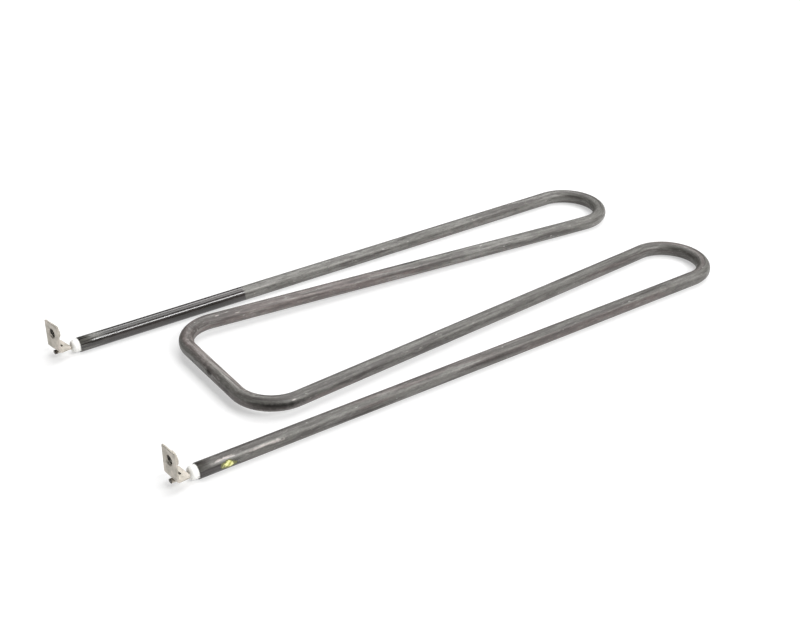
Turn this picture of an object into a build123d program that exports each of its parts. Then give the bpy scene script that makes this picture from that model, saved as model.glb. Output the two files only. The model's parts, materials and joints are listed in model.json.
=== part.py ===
"""Tubular heating element: a sheathed rod heater bent into two hairpins and a wide centre loop.

Frame: +X runs from the terminals to the hairpins, +Y to the left leg and +Z up. The element lies
on its outer legs and hairpins. The origin is on that surface, midway between the pins' tips and
the fronts of the hairpins.
Sizes are millimetres and degrees.
"""

import os
from math import cos, radians, sin

from build123d import *

# ---- Driving dimensions ------------------------------------------------------------------------

# Sheath tube
sheath_diameter = 8.0
sheath_wall = 0.7

# Bent shape, measured on the tube's centreline
bend_radius = 20.5        # every bend is made on the same die
leg_spacing = 133.0       # between the two sheath ends
leg_length = 316.0        # sheath end to the start of its hairpin
leg_toe_in = 0.3          # each outer leg leans towards the other
inner_leg_splay = 4.9     # each inner leg opens out on its way back to the loop
loop_setback = 44.0       # sheath ends to the cross run of the centre loop
loop_climb = 0.58         # the inner legs climb, so the loop stands clear of the surface
climb_radius = 600.0      # gentle set that starts the climb
climb_start = 10.0        # straight between a hairpin and that set

# Heating core
coil_diameter = 3.6       # close winding of resistance wire, outside
coil_wire = 0.5
cold_length = 55.0        # sheath end to the first turn of the winding
pin_overlap = 9.0         # the winding's end turns sit on the pin
packing_gap = 0.02        # between the packed powder and what it holds

# Terminal pins
pin_diameter = 2.4
pin_reach = 13.2          # beyond the sheath end
blade_length = 8.0        # the outer end is pressed flat for the tab
blade_width = 2.8
blade_thickness = 1.8
blade_transition = 0.8

# Ceramic bushing and the seal behind it
bushing_reach = 4.2
bushing_diameter = 7.0
bushing_round = 2.0
bushing_insert = 7.0
bushing_clearance = 0.05
seal_length = 3.0

# Terminal tab, stamped from strip
tab_width = 11.2
tab_thickness = 1.0
tab_height = 15.9         # underside of the foot to the top of the plate
tab_foot = 7.4            # front of the plate to the end of the foot
tab_bend_radius = 0.8     # inside the bend
tab_corner = 0.5
tab_foot_corner = 1.6
tab_twist_left = 11.0     # each tab is welded a little off square
tab_twist_right = 5.3
tab_offset_left = 1.5     # and a little to the left of its pin
tab_offset_right = 0.8
tab_reach_left = 13.1     # sheath end to the front of the plate
tab_reach_right = 12.6
weld_slot_length = 2.8    # across the pin
weld_slot_width = 1.2
weld_slot_setback = 4.4   # front of the plate to the slot's middle
screw_bore = 5.0          # full diameter of an M5 thread
screw_height = 10.1       # underside of the foot to the screw's axis
screw_chamfer = 0.45
collar_diameter = 7.2     # drawn collar that the thread is cut in
collar_height = 1.9
collar_round = 0.4

# ---- Places worked out from them ---------------------------------------------------------------

sheath_radius = sheath_diameter / 2
sheath_bore = sheath_radius - sheath_wall
pin_radius = pin_diameter / 2
coil_radius = coil_diameter / 2
coil_bore = coil_radius - coil_wire
fill_radius = sheath_bore - packing_gap
fill_start = bushing_insert + seal_length

hairpin_front = leg_length * cos(radians(leg_toe_in)) + bend_radius + sheath_radius
ends_x = (pin_reach - hairpin_front) / 2

leg_along = Vector(cos(radians(leg_toe_in)), -sin(radians(leg_toe_in)), 0)
leg_start = Vector(ends_x, leg_spacing / 2, sheath_radius)
inner_along = Vector(-cos(radians(inner_leg_splay)), sin(radians(inner_leg_splay)), 0)
UP = Vector(0, 0, 1)
ACROSS = Vector(0, -1, 0)


def bend_end(start, tangent, normal, turn, radius):
    """Where a bend ends that leaves start along tangent and turns about normal."""
    side = normal.cross(tangent)
    return start + tangent * (radius * sin(radians(turn))) + side * (radius * (1 - cos(radians(turn))))


def climbing(direction):
    """A level direction tipped up by the loop's climb."""
    return direction * cos(radians(loop_climb)) + UP * sin(radians(loop_climb))


def centreline(inset):
    """The bent centreline, with both outer legs starting this far in from the sheath ends."""
    hairpin_start = leg_start + leg_along * leg_length
    hairpin_turn = 180 - leg_toe_in + inner_leg_splay
    hairpin_end = bend_end(hairpin_start, leg_along, -UP, hairpin_turn, bend_radius)
    climb_begin = hairpin_end + inner_along * climb_start
    climb_end = bend_end(climb_begin, inner_along, inner_along.cross(UP), loop_climb, climb_radius)

    inner_up = climbing(inner_along)
    corner_normal = inner_up.cross(ACROSS).normalized()
    corner_turn = inner_up.get_angle(ACROSS)
    corner_step = bend_end(Vector(), inner_up, corner_normal, corner_turn, bend_radius)
    corner_start_x = ends_x + loop_setback - corner_step.X
    inner_run = (corner_start_x - climb_end.X) / inner_up.X
    corner_start = climb_end + inner_up * inner_run
    corner_end = corner_start + corner_step

    with BuildLine() as axis:
        Line(leg_start + leg_along * inset, hairpin_start)
        TangentArc(hairpin_start, hairpin_end, tangent=leg_along)
        Line(hairpin_end, climb_begin)
        TangentArc(climb_begin, climb_end, tangent=inner_along)
        Line(climb_end, corner_start)
        TangentArc(corner_start, corner_end, tangent=inner_up)
        mirror(about=Plane.XZ)
        Line(corner_end, Vector(corner_end.X, -corner_end.Y, corner_end.Z))
    return axis.wire()


def across_leg(inset):
    """The plane square to the left leg, this far in from its end."""
    return Plane(origin=leg_start + leg_along * inset, z_dir=leg_along)


def leg_end_plane(side):
    """Level plane at a sheath end, its x running into the leg; side is 1 for left, -1 for right."""
    origin = Vector(leg_start.X, side * leg_start.Y, leg_start.Z)
    return Plane(origin=origin, x_dir=Vector(leg_along.X, side * leg_along.Y, 0), z_dir=UP)


# ---- Sheath, powder and winding, each swept along the bent centreline ----------------------------

sheath_path = centreline(0)
fill_path = centreline(fill_start)
coil_path = centreline(cold_length)
core_path = centreline(cold_length + pin_overlap + packing_gap)

with BuildPart() as sheath:
    with BuildSketch(across_leg(0)):
        Circle(sheath_radius)
        Circle(sheath_bore, mode=Mode.SUBTRACT)
    sweep(path=sheath_path)

with BuildPart() as resistance_coil:
    with BuildSketch(across_leg(cold_length)):
        Circle(coil_radius)
        Circle(coil_bore, mode=Mode.SUBTRACT)
    sweep(path=coil_path)

with BuildPart() as magnesia_core:
    with BuildSketch(across_leg(cold_length + pin_overlap + packing_gap)):
        Circle(coil_bore - packing_gap)
    sweep(path=core_path)

with BuildPart() as magnesia_jacket:
    with BuildSketch(across_leg(fill_start)):
        Circle(fill_radius)
    sweep(path=fill_path)
    with BuildSketch(across_leg(cold_length)):
        Circle(coil_radius + packing_gap)
    sweep(path=coil_path, mode=Mode.SUBTRACT)
    for side in (1, -1):
        leg_end = leg_end_plane(side)
        with BuildSketch(Plane(origin=leg_end.origin, z_dir=leg_end.x_dir)):
            Circle(pin_radius + packing_gap)
        extrude(amount=cold_length + packing_gap, mode=Mode.SUBTRACT)


# ---- Terminals, one set at each sheath end -------------------------------------------------------


def make_pin(end):
    """Terminal pin: round through the bushing, pressed to a flat blade beyond it."""
    inward = Vector(end.x_dir)
    blade_from = pin_reach - blade_length
    with BuildPart() as pin:
        with BuildSketch(Plane(origin=end.origin - inward * (blade_from - blade_transition), z_dir=inward)):
            Circle(pin_radius)
        extrude(amount=blade_from - blade_transition + cold_length + pin_overlap)
        round_end = pin.faces().sort_by(Axis(end.origin, inward))[0]
        blade_plane = Plane(origin=end.origin - inward * blade_from, x_dir=end.y_dir, z_dir=-inward)
        with BuildSketch(blade_plane) as blade:
            SlotOverall(blade_width, blade_thickness)
        loft(sections=[round_end, blade.sketch.face()])
        extrude(to_extrude=blade.sketch, amount=blade_length)
    return pin.part


def make_bushing(end):
    """Stepped ceramic bushing: its shoulder seats on the sheath's end, its spigot fills the bore."""
    pin_bore = pin_radius + bushing_clearance
    spigot = sheath_bore - bushing_clearance
    with BuildPart() as bushing:
        with BuildSketch(end):
            with BuildLine():
                Polyline(
                    (-bushing_reach, pin_bore),
                    (-bushing_reach, bushing_diameter / 2),
                    (0, bushing_diameter / 2),
                    (0, spigot),
                    (bushing_insert, spigot),
                    (bushing_insert, pin_bore),
                    close=True,
                )
            make_face()
        revolve(axis=Axis(end.origin, end.x_dir))
        front = bushing.faces().sort_by(Axis(end.origin, end.x_dir))[0]
        fillet(front.outer_wire().edges(), radius=bushing_round)
    return bushing.part


def make_seal(end):
    """Cured resin seal between the bushing and the powder."""
    inward = Vector(end.x_dir)
    with BuildPart() as seal:
        with BuildSketch(Plane(origin=end.origin + inward * (bushing_insert + packing_gap), z_dir=inward)):
            Circle(fill_radius)
            Circle(pin_radius + packing_gap, mode=Mode.SUBTRACT)
        extrude(amount=seal_length - 2 * packing_gap)
    return seal.part


def tab_frame(end, twist, offset, reach):
    """Frame of a tab: origin level with the blade's top at the slot, x into the leg, off square."""
    inward = Vector(end.x_dir)
    seat = end.origin - inward * (reach - weld_slot_setback) + end.y_dir * offset
    seat = seat + UP * (blade_thickness / 2)
    return Plane(origin=seat, x_dir=inward.rotate(Axis.Z, twist), z_dir=UP)


def on_front(front):
    """Test for a full circle that lies in the front plane."""
    return lambda edge: edge.is_closed and abs(front.to_local_coords(edge.center()).Z) < 1e-3


def make_tab(frame):
    """Bent strip terminal: a foot welded on the blade, and a plate with a drawn and tapped hole."""
    side_plane = Plane(origin=frame.origin, x_dir=frame.x_dir, z_dir=-frame.y_dir)
    plate_mid = -weld_slot_setback + tab_thickness / 2
    foot_mid = tab_thickness / 2
    foot_end = tab_foot - weld_slot_setback
    with BuildPart() as tab:
        with BuildSketch(side_plane):
            with BuildLine() as strip:
                FilletPolyline(
                    (foot_end, foot_mid),
                    (plate_mid, foot_mid),
                    (plate_mid, tab_height),
                    radius=tab_bend_radius + tab_thickness / 2,
                )
            trace(strip.line, line_width=tab_thickness)
        extrude(amount=tab_width / 2, both=True)

        inward = Axis(frame.origin, frame.x_dir)
        top_corners = tab.edges().filter_by(inward).group_by(Axis.Z)[-1]
        fillet(top_corners, radius=tab_corner)
        foot_corners = tab.edges().filter_by(Axis.Z).group_by(inward)[-1]
        fillet(foot_corners, radius=tab_foot_corner)

        with BuildSketch(frame):
            SlotOverall(weld_slot_length, weld_slot_width, rotation=90)
        extrude(amount=tab_thickness, mode=Mode.SUBTRACT)

        screw_axis = frame.origin - frame.x_dir * weld_slot_setback + UP * screw_height
        front = Plane(origin=screw_axis, x_dir=frame.y_dir, z_dir=frame.x_dir)
        with BuildSketch(front.offset(tab_thickness)):
            Circle(collar_diameter / 2)
        extrude(amount=collar_height)
        collar_rim = tab.edges().filter_by(GeomType.CIRCLE).sort_by(inward)[-1]
        fillet(collar_rim, radius=collar_round)
        with BuildSketch(front):
            Circle(screw_bore / 2)
        extrude(amount=tab_thickness + collar_height, mode=Mode.SUBTRACT)
        screw_mouth = tab.edges().filter_by(GeomType.CIRCLE).filter_by(on_front(front))
        chamfer(screw_mouth, length=screw_chamfer)
    return tab.part


pieces = {
    "sheath": sheath.part,
    "magnesia_jacket": magnesia_jacket.part,
    "magnesia_core": magnesia_core.part,
    "resistance_coil": resistance_coil.part,
}
terminals = (
    ("left", 1, tab_twist_left, tab_offset_left, tab_reach_left),
    ("right", -1, tab_twist_right, tab_offset_right, tab_reach_right),
)
for name, side, twist, offset, reach in terminals:
    end = leg_end_plane(side)
    pieces[f"terminal_pin_{name}"] = make_pin(end)
    pieces[f"ceramic_bushing_{name}"] = make_bushing(end)
    pieces[f"end_seal_{name}"] = make_seal(end)
    pieces[f"terminal_tab_{name}"] = make_tab(tab_frame(end, twist, offset, reach))

os.makedirs("parts", exist_ok=True)
for node, solid in pieces.items():
    solid.label = node
    export_step(solid, f"parts/{node}.step")
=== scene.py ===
"""Looks for a tubular heating element: an oxidised bent sheath with two screw terminals.

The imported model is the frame. Everything here is in metres in the same frame: +X runs from the
terminals to the hairpins, +Y to the left leg and +Z up from the surface that the element lies on.
"""

import json
from math import cos, pi, radians, sin

import bpy
from mathutils import Matrix, Vector


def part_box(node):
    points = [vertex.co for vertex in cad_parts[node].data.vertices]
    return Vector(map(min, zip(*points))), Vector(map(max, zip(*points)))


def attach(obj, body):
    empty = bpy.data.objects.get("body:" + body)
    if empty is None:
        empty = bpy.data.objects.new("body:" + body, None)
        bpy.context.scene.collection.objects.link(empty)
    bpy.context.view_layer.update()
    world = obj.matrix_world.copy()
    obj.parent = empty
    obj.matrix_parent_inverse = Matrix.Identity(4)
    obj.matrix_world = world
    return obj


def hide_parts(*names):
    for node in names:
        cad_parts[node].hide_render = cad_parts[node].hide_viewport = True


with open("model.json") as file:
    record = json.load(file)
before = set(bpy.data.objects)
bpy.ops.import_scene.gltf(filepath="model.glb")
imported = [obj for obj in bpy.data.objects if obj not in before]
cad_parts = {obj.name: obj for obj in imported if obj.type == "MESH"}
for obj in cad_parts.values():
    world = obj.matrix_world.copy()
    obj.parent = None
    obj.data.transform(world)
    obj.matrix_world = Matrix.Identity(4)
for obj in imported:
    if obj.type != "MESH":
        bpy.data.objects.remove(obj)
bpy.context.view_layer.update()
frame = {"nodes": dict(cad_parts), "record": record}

MM = 0.001

# ---- The bent centreline, from the same driving sizes as the solid sheath ------------------------

TUBE_RADIUS = 4.0 * MM
TUBE_BORE = 3.3 * MM            # radius of the bore
BEND_RADIUS = 20.5 * MM
LEG_SPACING = 133.0 * MM
LEG_LENGTH = 316.0 * MM
LEG_TOE_IN = radians(0.3)
INNER_LEG_SPLAY = radians(4.9)
LOOP_SETBACK = 44.0 * MM
LOOP_CLIMB = radians(0.58)
CLIMB_RADIUS = 600.0 * MM
CLIMB_START = 10.0 * MM
PIN_REACH = 13.2 * MM
PIN_TIP_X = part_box("terminal_pin_left")[0].x
SHEATH_END_X = PIN_TIP_X + PIN_REACH

STRAIGHT_STEP = 8 * MM          # about this far between two rings of the tube on a straight run
BEND_STEP = radians(3)          # and about this turn on a bend
TUBE_CORNERS = 48               # round one ring

UP = Vector((0, 0, 1))
ACROSS = Vector((0, -1, 0))


class Path:
    """Points along straight runs and tangent arcs, each with its direction and its way travelled."""

    def __init__(self, start, along):
        self.point = start.copy()
        self.along = along.normalized()
        self.travel = 0.0
        self.stations = [(self.point.copy(), self.along.copy(), self.travel)]

    def straight(self, length):
        count = max(1, round(length / STRAIGHT_STEP))
        for _ in range(count):
            self.point += self.along * (length / count)
            self.travel += length / count
            self.stations.append((self.point.copy(), self.along.copy(), self.travel))

    def bend(self, axis, turn, radius):
        count = max(2, round(turn / BEND_STEP))
        centre = self.point + axis.cross(self.along) * radius
        turned = Matrix.Rotation(turn / count, 3, axis)
        for _ in range(count):
            self.point = centre + turned @ (self.point - centre)
            self.along = turned @ self.along
            self.travel += radius * turn / count
            self.stations.append((self.point.copy(), self.along.copy(), self.travel))


def half_path():
    """The left half of the centreline, from the left sheath end to the middle of the cross run."""
    start = Vector((SHEATH_END_X, LEG_SPACING / 2, TUBE_RADIUS))
    path = Path(start, Vector((cos(LEG_TOE_IN), -sin(LEG_TOE_IN), 0)))
    path.straight(LEG_LENGTH)
    path.bend(-UP, pi - LEG_TOE_IN + INNER_LEG_SPLAY, BEND_RADIUS)
    path.straight(CLIMB_START)
    path.bend(path.along.cross(UP), LOOP_CLIMB, CLIMB_RADIUS)

    # The corner starts where its arc will end at the loop's setback, running level across
    corner_axis = path.along.cross(ACROSS).normalized()
    corner_turn = path.along.angle(ACROSS)
    inward = corner_axis.cross(path.along)
    corner_step = path.along * (BEND_RADIUS * sin(corner_turn))
    corner_step = corner_step + inward * (BEND_RADIUS * (1 - cos(corner_turn)))
    corner_x = SHEATH_END_X + LOOP_SETBACK - corner_step.x
    path.straight((corner_x - path.point.x) / path.along.x)
    path.bend(corner_axis, corner_turn, BEND_RADIUS)
    path.straight(path.point.y)
    return path.stations


def whole_path():
    """Stations of the whole centreline: the left half and its mirror image, run the other way."""
    left = half_path()
    middle = left[-1][2]
    right = []
    for point, along, travel in reversed(left[:-1]):
        mirrored = Vector((point.x, -point.y, point.z))
        right.append((mirrored, Vector((-along.x, along.y, -along.z)), 2 * middle - travel))
    return left + right


stations = whole_path()
PATH_LENGTH = stations[-1][2]

# ---- Meshes --------------------------------------------------------------------------------------


def new_mesh(name, vertices, faces):
    mesh = bpy.data.meshes.new(name)
    mesh.from_pydata(vertices, [], faces)
    return mesh


def ring_faces(first, second, count, split=0):
    """Quads between two closed rings, which start at these corners and have that many each.

    The same quads face the other way when the two rings are swapped. Each quad starts at its
    corner of the number split, from which it is cut into triangles.
    """
    faces = []
    for i in range(count):
        j = (i + 1) % count
        quad = (first + i, second + i, second + j, first + j)
        faces.append(quad[split:] + quad[:split])
    return faces


def tube_mesh(name):
    """The sheath: a tube along the path, closed over its wall at both ends.

    Each corner keeps where it is on the unrolled tube: the way travelled along it, and the place
    across it, to the right and up. The materials draw their streaks in those coordinates.

    All faces are wound inwards. Swapping the rings in each ring_faces call would turn them out.
    """
    vertices = []
    unrolled = []
    for radius in (TUBE_RADIUS, TUBE_BORE):
        for point, along, travel in stations:
            side = along.cross(UP).normalized()
            top = side.cross(along).normalized()
            for i in range(TUBE_CORNERS):
                angle = 2 * pi * i / TUBE_CORNERS
                across = sin(angle) * radius
                height = cos(angle) * radius
                vertices.append(point + side * across + top * height)
                unrolled.append((travel, across, height))

    last = (len(stations) - 1) * TUBE_CORNERS
    bore = len(stations) * TUBE_CORNERS
    faces = []
    for ring in range(0, last, TUBE_CORNERS):
        faces += ring_faces(ring, ring + TUBE_CORNERS, TUBE_CORNERS)
        faces += ring_faces(bore + ring + TUBE_CORNERS, bore + ring, TUBE_CORNERS)
    shell_count = len(faces)
    faces += ring_faces(bore, 0, TUBE_CORNERS)
    faces += ring_faces(last, bore + last, TUBE_CORNERS)

    mesh = new_mesh(name, vertices, faces)
    layer = mesh.attributes.new("unrolled", "FLOAT_VECTOR", "POINT")
    for item, value in zip(layer.data, unrolled):
        item.vector = value
    for face in mesh.polygons:
        face.use_smooth = face.index < shell_count
    return mesh


THREAD_PITCH = 0.8 * MM
THREAD_DEPTH = 0.44 * MM
THREAD_FOOT = 0.46 * THREAD_PITCH  # half of the ridge's width at the bore
THREAD_CREST = 0.05 * MM        # half of the flat on the ridge
THREAD_STEPS = 32               # round one turn


def thread_mouth(mount):
    """Where a tab's thread starts, on its axis, and the direction from there into the bore."""
    inward = -Vector(mount["axis"]).normalized()
    half_length = mount["dims"]["length_mm"] * MM / 2
    return Vector(mount["pos_m"]) - inward * half_length, inward


def thread_mesh(name, mount):
    """The screw thread in a tab's collar: one ridge wound round the inside of the bore."""
    mouth, inward = thread_mouth(mount)
    radius = mount["dims"]["r_mm"] * MM
    length = mount["dims"]["length_mm"] * MM
    side = inward.cross(UP).normalized()
    top = side.cross(inward)
    section = (
        (0, -THREAD_FOOT),
        (THREAD_DEPTH, -THREAD_CREST),
        (THREAD_DEPTH, THREAD_CREST),
        (0, THREAD_FOOT),
    )
    turns = (length - 2 * THREAD_FOOT) / THREAD_PITCH
    rings = round(turns * THREAD_STEPS)
    vertices = []
    for ring in range(rings + 1):
        angle = 2 * pi * ring / THREAD_STEPS
        outward = side * cos(angle) + top * sin(angle)
        depth = THREAD_FOOT + THREAD_PITCH * ring / THREAD_STEPS
        for rise, shift in section:
            vertices.append(mouth + inward * (depth + shift) + outward * (radius - rise))

    count = len(section)
    faces = [tuple(range(count)), tuple(rings * count + i for i in reversed(range(count)))]
    for ring in range(rings):
        faces += ring_faces(ring * count, (ring + 1) * count, count, split=3)
    return new_mesh(name, vertices, faces)


SCREW_CHAMFER = 0.45 * MM       # front of a tab to the start of its thread
SCREW_HEIGHT = 10.1 * MM        # underside of the tab's foot to the screw's axis
SLOT_SETBACK = 4.4 * MM         # front of a tab to the middle of its weld slot
SLOT_HALF_LENGTH = 1.4 * MM
SLOT_HALF_WIDTH = 0.6 * MM
WELD_CLEARANCE = 0.03 * MM
WELD_RADIUS = SLOT_HALF_WIDTH - WELD_CLEARANCE
WELD_END = SLOT_HALF_LENGTH - WELD_CLEARANCE
WELD_STARTS = {"left": -0.3 * MM, "right": -WELD_END}  # the left one fills part of its slot
WELD_HEIGHT = 0.75 * MM
WELD_LEVELS = 5
WELD_STEPS = 8                  # round each end of the nugget


def weld_outline(start, end, radius):
    """A slot's outline round one nugget, as places along and across the tab."""
    points = []
    for centre, turned in ((end - radius, 0), (start + radius, pi)):
        for i in range(WELD_STEPS + 1):
            angle = turned + pi * i / WELD_STEPS
            points.append((radius * cos(angle), centre + radius * sin(angle)))
    return points


def weld_mesh(name, mount, start, end):
    """The weld in a tab's slot: a low dome from start to end across the tab, burnt metal and painted
    shade.
    """
    mouth, inward = thread_mouth(mount)
    left = UP.cross(inward)
    seat = mouth + inward * (SLOT_SETBACK - SCREW_CHAMFER) - UP * SCREW_HEIGHT
    vertices = []
    for level in range(WELD_LEVELS):
        lift = pi / 2 * level / WELD_LEVELS
        shrink = WELD_RADIUS * (1 - cos(lift))
        height = WELD_HEIGHT * sin(lift)
        for x, y in weld_outline(start + shrink, end - shrink, WELD_RADIUS - shrink):
            vertices.append(seat + inward * x + left * y + UP * height)

    count = len(vertices) // WELD_LEVELS
    top = (WELD_LEVELS - 1) * count
    faces = [tuple(reversed(range(count))), tuple(top + i for i in range(count))]
    for ring in range(0, top, count):
        faces += ring_faces(ring + count, ring, count, split=1)
    return new_mesh(name, vertices, faces)


# ---- Materials -----------------------------------------------------------------------------------


class Nodes:
    """A material's node tree, with short calls for the nodes that are used most."""

    def __init__(self, name):
        self.material = bpy.data.materials.new(name)
        self.material.use_nodes = True
        self.tree = self.material.node_tree
        self.tree.nodes.clear()
        self.output = self.tree.nodes.new("ShaderNodeOutputMaterial")

    def new(self, kind, inputs=None, **settings):
        node = self.tree.nodes.new(kind)
        for key, value in settings.items():
            setattr(node, key, value)
        for key, value in (inputs or {}).items():
            self.feed(node.inputs[key], value)
        return node

    def feed(self, socket, value):
        if isinstance(value, bpy.types.NodeSocket):
            self.tree.links.new(value, socket)
        else:
            socket.default_value = value

    def unrolled(self):
        return self.new("ShaderNodeAttribute", attribute_name="unrolled").outputs["Vector"]

    def place(self):
        return self.new("ShaderNodeTexCoord").outputs["Object"]

    def moved(self, vector, move=(0, 0, 0), scale=(1, 1, 1)):
        """The vector times the scale, and then moved."""
        inputs = {"Vector": vector, "Location": move, "Scale": scale}
        return self.new("ShaderNodeMapping", inputs).outputs[0]

    def noise(self, vector, scale, detail=3.0, roughness=0.55, offset=0.0):
        """Noise with its cells 1/scale apart, along each axis or the same along all three."""
        scales = scale if isinstance(scale, tuple) else (scale,) * 3
        moved = self.moved(vector, (offset,) * 3, scales)
        inputs = {"Vector": moved, "Scale": 1.0, "Detail": detail, "Roughness": roughness}
        return self.new("ShaderNodeTexNoise", inputs).outputs[0]

    def math(self, operation, a, b):
        return self.new("ShaderNodeMath", {0: a, 1: b}, operation=operation).outputs[0]

    def plus(self, a, b):
        return self.math("ADD", a, b)

    def times(self, a, b):
        return self.math("MULTIPLY", a, b)

    def larger(self, a, b):
        return self.math("MAXIMUM", a, b)

    def ramp(self, value, low, high, out_low=0.0, out_high=1.0):
        """From out_low to out_high in a straight line as the value goes from low to high."""
        inputs = {"Value": value, 1: low, 2: high, 3: out_low, 4: out_high}
        return self.new("ShaderNodeMapRange", inputs).outputs[0]

    def smooth(self, value, low, high):
        """From 0 to 1 with soft shoulders as the value goes from low to high, up or down."""
        inputs = {"Value": value, 1: low, 2: high}
        return self.new("ShaderNodeMapRange", inputs, interpolation_type="SMOOTHSTEP").outputs[0]

    def frayed(self, value, noise, reach):
        """The value, shifted by the noise up to about that reach either way."""
        return self.plus(value, self.ramp(noise, 0.2, 0.8, -reach, reach))

    def blend(self, factor, a, b):
        """The number that far from a to b."""
        return self.new("ShaderNodeMix", {0: factor, 2: a, 3: b}).outputs[0]

    def mix(self, factor, a, b):
        """The colour that far from a to b."""
        node = self.new("ShaderNodeMix", data_type="RGBA")
        self.feed(node.inputs["Factor"], factor)
        self.feed(node.inputs[6], a)
        self.feed(node.inputs[7], b)
        return node.outputs[2]

    def patches(self, below, above, noise, low, high, share):
        """A colour with that share of another over it, in patches where the noise nears high."""
        return self.mix(self.times(self.smooth(noise, low, high), share), below, above)

    def part(self, vector, axis):
        return self.new("ShaderNodeSeparateXYZ", {"Vector": vector}).outputs[axis]

    def bump(self, height, strength, distance, normal=None):
        inputs = {"Height": height, "Strength": strength, "Distance": distance}
        if normal is not None:
            inputs["Normal"] = normal
        return self.new("ShaderNodeBump", inputs).outputs[0]

    def surface(self, **inputs):
        shader = self.new("ShaderNodeBsdfPrincipled", inputs)
        self.tree.links.new(shader.outputs[0], self.output.inputs["Surface"])


def grey(value):
    return (value, value, value, 1.0)


# ---- The sheath's looks --------------------------------------------------------------------------

COLD_END_LEFT = 96.8 * MM       # glossy dark stretch from the left end of the sheath
COLD_FRAY_LEFT = 1.2 * MM       # how far the edge of the gloss wanders either way
COLD_BLUR_LEFT = 0.6 * MM       # half of the blur at that edge
COLD_END_RIGHT = 19.0 * MM      # the same three at the right end
COLD_FRAY_RIGHT = 6.0 * MM
COLD_BLUR_RIGHT = 1.8 * MM
WORN_LOW = 1.1 * MM             # height over the centreline where its gloss starts to be worn
WORN_HIGH = 2.3 * MM            # and where it is gone
WORN_FRAY = 1.6 * MM
SCUFF_LENGTH = 13.0 * MM        # the left end's gloss is scuffed this far in
SCUFF_BLUR = 3.6 * MM
DARKER_START = PATH_LENGTH / 2 + 10 * MM  # the right half is darker from here
DARKER_END = PATH_LENGTH / 2 + 90 * MM    # and fully so from here

GREY_OXIDE = (0.152, 0.148, 0.133, 1)
PALE_OXIDE = (0.205, 0.201, 0.184, 1)
VIOLET_OXIDE = (0.172, 0.136, 0.128, 1)
BURNT_OXIDE = (0.066, 0.058, 0.054, 1)
DARK_STREAK = (0.076, 0.066, 0.061, 1)
PALE_STREAK = (0.28, 0.27, 0.255, 1)
DARK_FLAKE = (0.07, 0.063, 0.056, 1)
PALE_FLAKE = (0.3, 0.292, 0.27, 1)
BRIGHT_SPECK = (0.55, 0.54, 0.51, 1)
DARK_GRAIN = (0.048, 0.043, 0.038, 1)
BLACK_GLAZE = (0.02, 0.018, 0.0155, 1)
VIOLET_GLAZE = (0.034, 0.028, 0.027, 1)
GREY_SMEAR = (0.07, 0.064, 0.058, 1)
GREY_SCUFF = (0.15, 0.147, 0.13, 1)
# Also the painted shade on the cross run's lower outer side and on the loop's lower corner
BLACK_SMUDGE_AND_SHADE = (0.032, 0.029, 0.026, 1)
# Also the colour of the painted highlight along the cross run's upper inner side
RUBBED_STEEL_AND_SHEEN = (0.66, 0.6, 0.57, 1)
YELLOW_PAINT = (0.86, 0.86, 0.38, 1)
OLIVE_PAINT = (0.42, 0.41, 0.07, 1)
PAINT_RIM = (0.13, 0.13, 0.03, 1)

SHEATH_IOR = 1.65
OXIDE_METALLIC = 0.2
SMUDGE_AND_SHADE_METALLIC = 0.9
PAINT_ROUGHNESS = 0.35
RAGGED = 0.35                   # how far the marks' outlines wander, as a share of their half size
SMUDGE_AND_SHADE_RAGGED = 0.6             # smudges and painted shade wander by this share of that
SMUDGE_AND_SHADE_EDGE = 0.85              # how wide the marks' edges are, as a share of their half size
RUB_AND_SHEEN_EDGE = 0.7
DAB_EDGE = 0.12
DAB_RIM = 0.26                  # how wide the dab's thin rim is
DAB_RIM_EDGE = 0.25             # and the blur inside it


class Mark:
    """A mark on the sheath, given in millimetres and degrees.

    It lies that far along the tube from the left end, or from the right end where the travel is
    negative, and is turned by the angle from the top to the right of the way travelled.
    """

    def __init__(self, travel, angle, half_length, half_width, strength=1.0):
        end = PATH_LENGTH if travel < 0 else 0.0
        across = sin(radians(angle)) * TUBE_RADIUS
        height = cos(radians(angle)) * TUBE_RADIUS
        self.middle = (end + travel * MM, across, height)
        self.half_sizes = (half_length * MM, half_width * MM, half_width * MM)
        self.strength = strength

    def distance(self, n, co):
        """How far out a point is from the mark's middle: 0 there and 1 at its elliptic edge."""
        moved = n.moved(co, move=tuple(-value for value in self.middle))
        shares = n.moved(moved, scale=tuple(1 / size for size in self.half_sizes))
        return n.new("ShaderNodeVectorMath", {0: shares}, operation="LENGTH").outputs["Value"]


# Marks that stand out in the photograph: a dab of paint, dark smudges and brightly rubbed spots,
# with painted shade on the cross run's lower outer side and a painted highlight on its upper inner
# side
DAB = Mark(-14.2, -88, 3.9, 2.5)
SMUDGES_AND_SHADE = (
    Mark(691.5, 70, 5.0, 2.5),
    # Partly a smudge, partly painted shade along the cross run's lower side
    Mark(706, 84, 17, 1.8, strength=0.75),
    # Painted shade over the whole lower outer side of the cross run
    Mark(689, 100, 42, 2.6, strength=0.5),
    # Painted shade: the dark band on the lower half of the loop's lower corner
    Mark(737, 84, 20, 3.2, strength=0.85),
    Mark(507, 8, 11, 2.0, strength=0.75),
    Mark(204, 18, 6, 1.6, strength=0.6),
    Mark(1098, -20, 24, 1.2, strength=0.6),
    Mark(1215, -75, 30, 1.5, strength=0.55),
    Mark(1290, -105, 34, 1.5, strength=0.6),
)
RUBS_AND_SHEEN = (
    Mark(-13, -44, 7.0, 1.2, strength=0.75),
    Mark(-34, -60, 13, 1.3, strength=0.5),
    # Painted highlight along the cross run's upper inner side, streaked by the scratches
    Mark(689.5, -25, 50, 5.5, strength=0.32),
    Mark(744.5, 52, 1.3, 0.6, strength=0.8),
    Mark(627.9, -28, 1.5, 0.5, strength=0.8),
    Mark(616.5, -45, 2.2, 0.5, strength=0.4),
)


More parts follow.
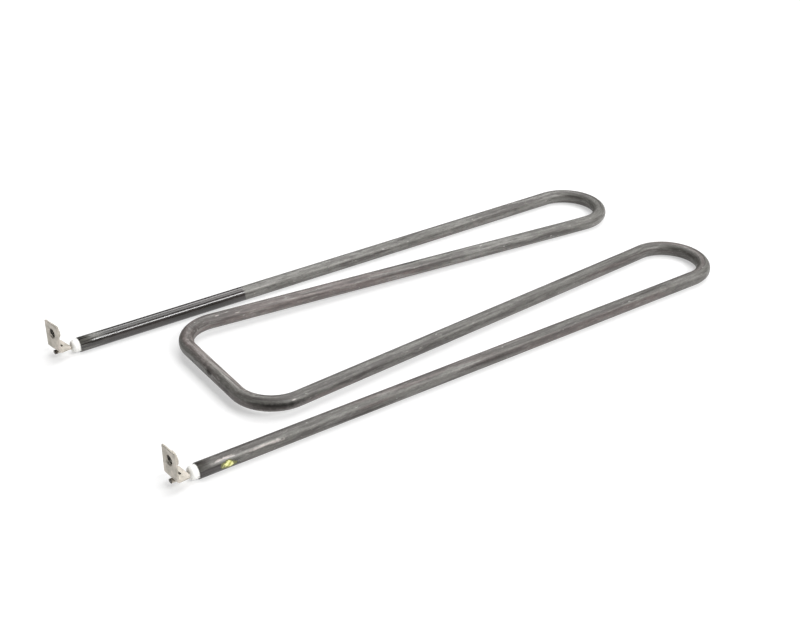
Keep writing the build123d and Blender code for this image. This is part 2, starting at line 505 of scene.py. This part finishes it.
def marks_mask(n, co, marks, ragged, edge):
    """Each mark's strength inside it and 0 outside, with a ragged outline and an edge that wide."""
    masks = []
    for mark in marks:
        distance = n.plus(mark.distance(n, co), ragged)
        masks.append(n.times(n.smooth(distance, 1.0, 1.0 - edge), mark.strength))
    total = masks[0]
    for mask in masks[1:]:
        total = n.larger(total, mask)
    return total


def cold_ends(n, co):
    """Masks of the sheath's unheated glossy ends, and of the scuffed start of the left one."""
    fray = n.noise(co, (110.0, 700.0, 700.0), detail=4.0)
    left_travel = n.frayed(n.part(co, 0), fray, COLD_FRAY_LEFT)
    left = n.smooth(left_travel, COLD_END_LEFT + COLD_BLUR_LEFT, COLD_END_LEFT - COLD_BLUR_LEFT)
    scuffed = n.smooth(left_travel, SCUFF_LENGTH + SCUFF_BLUR, SCUFF_LENGTH - SCUFF_BLUR)

    right_start = PATH_LENGTH - COLD_END_RIGHT
    right_travel = n.frayed(n.part(co, 0), fray, COLD_FRAY_RIGHT)
    right = n.smooth(right_travel, right_start - COLD_BLUR_RIGHT, right_start + COLD_BLUR_RIGHT)
    worn = n.noise(co, (60.0, 800.0, 800.0), detail=4.0, offset=17.0)
    worn_height = n.frayed(n.part(co, 2), worn, WORN_FRAY)
    right = n.times(right, n.ramp(worn_height, WORN_HIGH, WORN_LOW))
    return n.larger(left, right), scuffed


def oxide_colour(n, co):
    """Heat-dulled oxide: grey with violet clouds, dark and pale streaks, flakes and a fine grain."""
    clouds = n.noise(co, (24.0, 110.0, 110.0), offset=9.1)
    broad = n.noise(co, (8.0, 120.0, 120.0), offset=14.3)
    stains = n.noise(co, (15.0, 260.0, 260.0), detail=4.0, offset=3.7)
    streaks = n.noise(co, (40.0, 620.0, 620.0), detail=5.0, roughness=0.6)
    flakes = n.noise(co, (190.0, 640.0, 640.0), detail=4.0, roughness=0.7, offset=27.0)
    specks = n.noise(co, (240.0, 640.0, 640.0), detail=1.0, offset=21.0)
    grain = n.noise(co, (900.0, 1500.0, 1500.0), detail=2.0)

    colour = n.mix(n.ramp(clouds, 0.38, 0.62), GREY_OXIDE, PALE_OXIDE)
    colour = n.patches(colour, VIOLET_OXIDE, broad, 0.49, 0.58, share=0.9)
    colour = n.patches(colour, BURNT_OXIDE, stains, 0.53, 0.6, share=0.75)
    colour = n.patches(colour, DARK_STREAK, streaks, 0.52, 0.6, share=0.65)
    colour = n.patches(colour, PALE_STREAK, streaks, 0.46, 0.37, share=0.65)
    colour = n.patches(colour, DARK_FLAKE, flakes, 0.5, 0.66, share=0.6)
    colour = n.patches(colour, PALE_FLAKE, flakes, 0.46, 0.3, share=0.55)
    colour = n.patches(colour, BRIGHT_SPECK, specks, 0.745, 0.77, share=0.55)
    darker = n.smooth(n.part(co, 0), DARKER_START, DARKER_END)
    dark_share = n.plus(n.ramp(grain, 0.3, 0.7, 0.06, 0.32), n.times(darker, 0.16))
    return n.mix(dark_share, colour, DARK_GRAIN)


def glaze_colour(n, co, scuffs):
    """The dark glossy ends: near black with a violet cast, and grey where they are scuffed."""
    clouds = n.noise(co, (24.0, 130.0, 130.0), offset=9.1)
    smears = n.noise(co, (30.0, 420.0, 420.0), detail=4.0, offset=5.3)
    colour = n.mix(n.smooth(clouds, 0.42, 0.62), BLACK_GLAZE, VIOLET_GLAZE)
    colour = n.patches(colour, GREY_SMEAR, smears, 0.55, 0.68, share=0.5)
    return n.mix(n.times(scuffs, 0.75), colour, GREY_SCUFF)


def painted(n, co, base, wobble, ragged):
    """The base colour with the dab of paint on it, and the dab's mask."""
    dab = marks_mask(n, co, (DAB,), ragged, DAB_EDGE)
    thick = marks_mask(n, co, (DAB,), n.plus(ragged, DAB_RIM), DAB_RIM_EDGE)
    paint = n.mix(n.smooth(wobble, 0.48, 0.6), YELLOW_PAINT, OLIVE_PAINT)
    return n.mix(dab, base, n.mix(thick, PAINT_RIM, paint)), dab


def sheath_roughness(n, co, cold, scuffs, dab):
    """Dull where it has been hot and shiny at its cold ends, apart from scuffs and the paint."""
    clouds = n.noise(co, (30.0, 160.0, 160.0), offset=11.0)
    dull = n.ramp(clouds, 0.3, 0.7, 0.4, 0.52)
    shiny = n.plus(n.ramp(clouds, 0.3, 0.7, 0.14, 0.21), n.times(scuffs, 0.2))
    return n.blend(dab, n.blend(cold, dull, shiny), PAINT_ROUGHNESS)


def sheath_relief(n, co, scratches, dab):
    """A fine grain, grooves and scratches from drawing, and the thickness of the paint."""
    grain = n.noise(co, (1100.0, 2200.0, 2200.0), detail=2.0)
    grooves = n.noise(co, (9.0, 1500.0, 1500.0), offset=31.0)
    relief = n.bump(grain, 0.25, 0.06 * MM)
    relief = n.bump(grooves, 0.3, 0.05 * MM, relief)
    relief = n.bump(scratches, 0.2, 0.12 * MM, relief)
    return n.bump(dab, 0.6, 0.2 * MM, relief)


def sheath_material():
    """Steel sheath: dull oxide where it has been hot, dark gloss by the terminals, a paint dab."""
    n = Nodes("sheath_oxide")
    co = n.unrolled()
    cold, scuffed = cold_ends(n, co)
    scratches = n.noise(co, (60.0, 900.0, 900.0), detail=5.0, offset=2.2)
    scuffs = n.times(scuffed, n.smooth(scratches, 0.42, 0.58))
    base = n.mix(cold, oxide_colour(n, co), glaze_colour(n, co, scuffs))

    wobble = n.noise(co, 520.0, offset=6.0)
    ragged = n.ramp(wobble, 0.25, 0.75, -RAGGED, RAGGED)
    # Dark smudges, and painted shade on the cross run
    smudge_and_shade = marks_mask(n, co, SMUDGES_AND_SHADE, n.times(ragged, SMUDGE_AND_SHADE_RAGGED), SMUDGE_AND_SHADE_EDGE)
    # Rubbed spots, and the painted highlight on the cross run
    rubbed_and_sheen = n.times(n.smooth(scratches, 0.38, 0.56), marks_mask(n, co, RUBS_AND_SHEEN, ragged, RUB_AND_SHEEN_EDGE))
    base = n.mix(smudge_and_shade, base, BLACK_SMUDGE_AND_SHADE)
    base = n.mix(rubbed_and_sheen, base, RUBBED_STEEL_AND_SHEEN)
    base, dab = painted(n, co, base, wobble, ragged)

    metallic = n.larger(n.blend(cold, OXIDE_METALLIC, 0.0), n.times(smudge_and_shade, SMUDGE_AND_SHADE_METALLIC))
    n.surface(**{
        "Base Color": base,
        "Metallic": metallic,
        "Roughness": sheath_roughness(n, co, cold, scuffs, dab),
        "IOR": SHEATH_IOR,
        "Normal": sheath_relief(n, co, scratches, dab),
    })
    return n.material


# ---- The other pieces' looks ---------------------------------------------------------------------

FINE_DEPTH = 0.05 * MM          # depth of the fine relief on the small pieces

BURN_BLUR = 0.3 * MM            # over this length the burnt end of a pin fades
BURN_FRAY = 0.4 * MM            # how far that edge wanders either way
DRAWN_STEEL = (0.42, 0.38, 0.32, 1)
BRIGHT_STEEL = (0.62, 0.58, 0.52, 1)
BURNT_STEEL = (0.03, 0.026, 0.022, 1)
BROWN_STEEL = (0.16, 0.14, 0.115, 1)


def pin_material(name, burnt_length):
    """Drawn steel pin: bright, and dark where its end was sheared and heated by the weld."""
    n = Nodes(name)
    place = n.place()
    wander = n.noise(place, 900.0, detail=4.0)
    reach = n.frayed(n.part(place, 0), wander, BURN_FRAY)
    burn_end = PIN_TIP_X + burnt_length
    burnt = n.smooth(reach, burn_end + BURN_BLUR, burn_end)
    bright = n.mix(n.ramp(wander, 0.3, 0.7), DRAWN_STEEL, BRIGHT_STEEL)
    dark = n.mix(n.ramp(wander, 0.35, 0.65), BURNT_STEEL, BROWN_STEEL)
    n.surface(**{
        "Base Color": n.mix(burnt, bright, dark),
        "Metallic": 0.6,
        "Roughness": n.ramp(wander, 0.2, 0.8, 0.38, 0.52),
        "Normal": n.bump(wander, 0.25, FINE_DEPTH),
    })
    return n.material


NICKEL = (0.46, 0.43, 0.375, 1)
PALE_NICKEL = (0.62, 0.575, 0.51, 1)
TARNISHED_NICKEL = (0.33, 0.31, 0.26, 1)
WORN_NICKEL = (0.74, 0.66, 0.6, 1)


def nickel_material():
    """Satin nickel strip, with clouds of grey tarnish and brighter worn patches."""
    n = Nodes("satin_nickel")
    place = n.place()
    wander = n.noise(place, (500.0, 260.0, 260.0), detail=5.0)
    tarnish = n.noise(place, 190.0, detail=4.0, roughness=0.6, offset=7.0)
    fine = n.noise(place, (3000.0, 1500.0, 1500.0), detail=2.0, offset=5.0)
    colour = n.mix(n.ramp(wander, 0.3, 0.7), NICKEL, PALE_NICKEL)
    colour = n.patches(colour, TARNISHED_NICKEL, tarnish, 0.5, 0.62, share=0.55)
    colour = n.patches(colour, WORN_NICKEL, tarnish, 0.46, 0.34, share=0.5)
    n.surface(**{
        "Base Color": colour,
        "Metallic": 0.55,
        "Roughness": n.ramp(fine, 0.2, 0.8, 0.42, 0.56),
        "Normal": n.bump(fine, 0.2, FINE_DEPTH),
    })
    return n.material


ROUGHNESS_SPREAD = 0.07         # either way
FINE_SHARE = 6                  # the fine relief's cells are this many times smaller


def plain_material(name, low, high, scale, metallic, roughness):
    """A surface whose colour and roughness wander a little between two values."""
    n = Nodes(name)
    wander = n.noise(n.place(), scale, detail=5.0)
    fine_scale = tuple(FINE_SHARE * value for value in scale)
    fine = n.noise(n.place(), fine_scale, detail=2.0, offset=5.0)
    smoothest = roughness - ROUGHNESS_SPREAD
    roughest = roughness + ROUGHNESS_SPREAD
    n.surface(**{
        "Base Color": n.mix(n.ramp(wander, 0.3, 0.7), low, high),
        "Metallic": metallic,
        "Roughness": n.ramp(fine, 0.2, 0.8, smoothest, roughest),
        "Normal": n.bump(fine, 0.2, FINE_DEPTH),
    })
    return n.material


ceramic = plain_material(
    "fired_ceramic", (0.93, 0.925, 0.89, 1), (0.97, 0.968, 0.94, 1), (420.0,) * 3,
    metallic=0.0, roughness=0.42)
# Near black: painted shade inside the tapped holes, laid on the thread
thread_in_painted_shade = plain_material(
    "cut_thread_in_painted_shade", (0.02, 0.018, 0.014, 1), (0.06, 0.055, 0.045, 1), (900.0,) * 3,
    metallic=0.3, roughness=0.5)
# Near black: the weld's burnt metal, and painted shade where the nugget fills the slot
weld_and_slot_shade = plain_material(
    "weld_nugget_and_slot_shade", (0.02, 0.018, 0.016, 1), (0.07, 0.062, 0.055, 1), (1300.0,) * 3,
    metallic=0.4, roughness=0.5)
powder = plain_material(
    "packed_powder", (0.78, 0.77, 0.73, 1), (0.9, 0.89, 0.86, 1), (700.0,) * 3,
    metallic=0.0, roughness=0.9)
winding = plain_material(
    "resistance_wire", (0.2, 0.18, 0.16, 1), (0.34, 0.32, 0.3, 1), (2000.0, 300.0, 300.0),
    metallic=0.8, roughness=0.45)
resin = plain_material(
    "cured_resin", (0.42, 0.3, 0.18, 1), (0.55, 0.42, 0.28, 1), (600.0,) * 3,
    metallic=0.0, roughness=0.4)

# ---- Pieces --------------------------------------------------------------------------------------

PIN_BURNT_LEFT = 1.2 * MM
PIN_BURNT_RIGHT = 0.2 * MM


def dress(material, *names):
    """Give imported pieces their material."""
    for name in names:
        mesh = frame["nodes"][name].data
        mesh.materials.clear()
        mesh.materials.append(material)


def add_piece(name, mesh, material):
    """Link a new piece, riding on the element's one body."""
    piece = bpy.data.objects.new(name, mesh)
    bpy.context.scene.collection.objects.link(piece)
    mesh.materials.append(material)
    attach(piece, "root")
    return piece


dress(ceramic, "ceramic_bushing_left", "ceramic_bushing_right")
dress(nickel_material(), "terminal_tab_left", "terminal_tab_right")
dress(pin_material("pin_steel_left", PIN_BURNT_LEFT), "terminal_pin_left")
dress(pin_material("pin_steel_right", PIN_BURNT_RIGHT), "terminal_pin_right")
dress(powder, "magnesia_jacket", "magnesia_core")
dress(winding, "resistance_coil")
dress(resin, "end_seal_left", "end_seal_right")

sheath = add_piece("sheath_tube", tube_mesh("sheath_tube"), sheath_material())
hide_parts("sheath")

for mount in frame["record"]["mounts"]:
    if mount["kind"] == "threaded_hole":
        side_name = mount["name"].removeprefix("screw_")
        thread_name = f"thread_{side_name}"
        add_piece(thread_name, thread_mesh(thread_name, mount), thread_in_painted_shade)
        # The dark weld fills the slot, partly as painted shade for the hole in it
        weld_name = f"weld_{side_name}"
        weld = weld_mesh(weld_name, mount, WELD_STARTS[side_name], WELD_END)
        add_piece(weld_name, weld, weld_and_slot_shade)

# ---- Camera --------------------------------------------------------------------------------------

# Solved from the tube's silhouette in the photograph
CAMERA_AT = Vector((SHEATH_END_X - 0.20006, -0.51424, 0.36425))
CAMERA_AIM = Vector((SHEATH_END_X + 0.15559, -0.00342, 0.0040))
FOCAL_PIXELS = 1326.53
IMAGE_WIDTH = 800               # pixels
SENSOR_WIDTH = 36.0             # millimetres

camera_data = bpy.data.cameras.new("camera")
camera_data.sensor_width = SENSOR_WIDTH
camera_data.sensor_fit = "HORIZONTAL"
camera_data.lens = FOCAL_PIXELS * SENSOR_WIDTH / IMAGE_WIDTH
camera_data.clip_start = 0.01
camera_data.clip_end = 20.0
camera = bpy.data.objects.new("camera", camera_data)
camera.location = CAMERA_AT
camera.rotation_euler = (CAMERA_AIM - CAMERA_AT).to_track_quat("-Z", "Y").to_euler()
bpy.context.scene.collection.objects.link(camera)
bpy.context.scene.camera = camera

# ---- Floor and light -----------------------------------------------------------------------------

FLOOR_HALF = 3.0                # half of the paper's side
FLOOR_GAP = 0.02 * MM           # between the paper and the element
PAPER = 0.88                    # how white it is
PAPER_GLOW = 1.35               # strength of the plain white
GLOW_SHARE = 0.35               # of what the camera and gloss see


def floor_material():
    """White paper: mostly real shading, with a share of plain white for camera and gloss rays."""
    n = Nodes("white_paper")
    seen = n.new("ShaderNodeLightPath")
    shade = n.new("ShaderNodeBsdfDiffuse", {"Color": grey(PAPER)})
    glow = n.new("ShaderNodeEmission", {"Color": grey(1.0), "Strength": PAPER_GLOW})
    straight = n.larger(seen.outputs["Is Camera Ray"], seen.outputs["Is Glossy Ray"])
    share = n.times(straight, GLOW_SHARE)
    mixed = n.new("ShaderNodeMixShader", {0: share, 1: shade.outputs[0], 2: glow.outputs[0]})
    n.tree.links.new(mixed.outputs[0], n.output.inputs["Surface"])
    return n.material


def add_floor():
    """A wide square of paper, just under the element."""
    corners = [(x * FLOOR_HALF, y * FLOOR_HALF, 0) for x, y in ((-1, -1), (1, -1), (1, 1), (-1, 1))]
    mesh = new_mesh("floor", corners, [(0, 1, 2, 3)])
    mesh.materials.append(floor_material())
    floor = bpy.data.objects.new("floor", mesh)
    floor.location.z = -FLOOR_GAP
    bpy.context.scene.collection.objects.link(floor)


LAMP_DISTANCE = 4.4             # from the frame's X axis


def softbox(name, along, elevation, length, width, radiance):
    """A long lamp parallel to X, turned to the element: elevation runs from +Y over the top."""
    data = bpy.data.lights.new(name, "AREA")
    data.shape = "RECTANGLE"
    data.size = length
    data.size_y = width
    data.energy = radiance * pi * length * width
    lamp = bpy.data.objects.new(name, data)
    lamp.location = (along, LAMP_DISTANCE * cos(elevation), LAMP_DISTANCE * sin(elevation))
    lamp.rotation_euler = (elevation - pi / 2, 0, 0)
    bpy.context.scene.collection.objects.link(lamp)


def white_room(strength):
    """An even white world: this strength as light, and plain white where the camera sees it."""
    world = bpy.data.worlds.new("studio")
    bpy.context.scene.world = world
    world.use_nodes = True
    tree = world.node_tree
    tree.nodes.clear()
    output = tree.nodes.new("ShaderNodeOutputWorld")
    path = tree.nodes.new("ShaderNodeLightPath")
    mix = tree.nodes.new("ShaderNodeMixShader")
    tree.links.new(path.outputs["Is Camera Ray"], mix.inputs[0])
    for socket, value in ((1, strength), (2, 1.0)):
        background = tree.nodes.new("ShaderNodeBackground")
        background.inputs["Color"].default_value = grey(1.0)
        background.inputs["Strength"].default_value = value
        tree.links.new(background.outputs[0], mix.inputs[socket])
    tree.links.new(mix.outputs[0], output.inputs["Surface"])


add_floor()
softbox("back", along=1.55, elevation=radians(56), length=3.0, width=1.8, radiance=4.8)
softbox("overhead", along=0.9, elevation=radians(92), length=2.4, width=2.2, radiance=3.0)
softbox("beyond", along=3.6, elevation=radians(88), length=3.0, width=2.4, radiance=3.8)
softbox("strip", along=1.7, elevation=radians(138), length=3.4, width=0.9, radiance=16.0)
white_room(strength=0.2)

bpy.context.scene.view_settings.view_transform = "Standard"
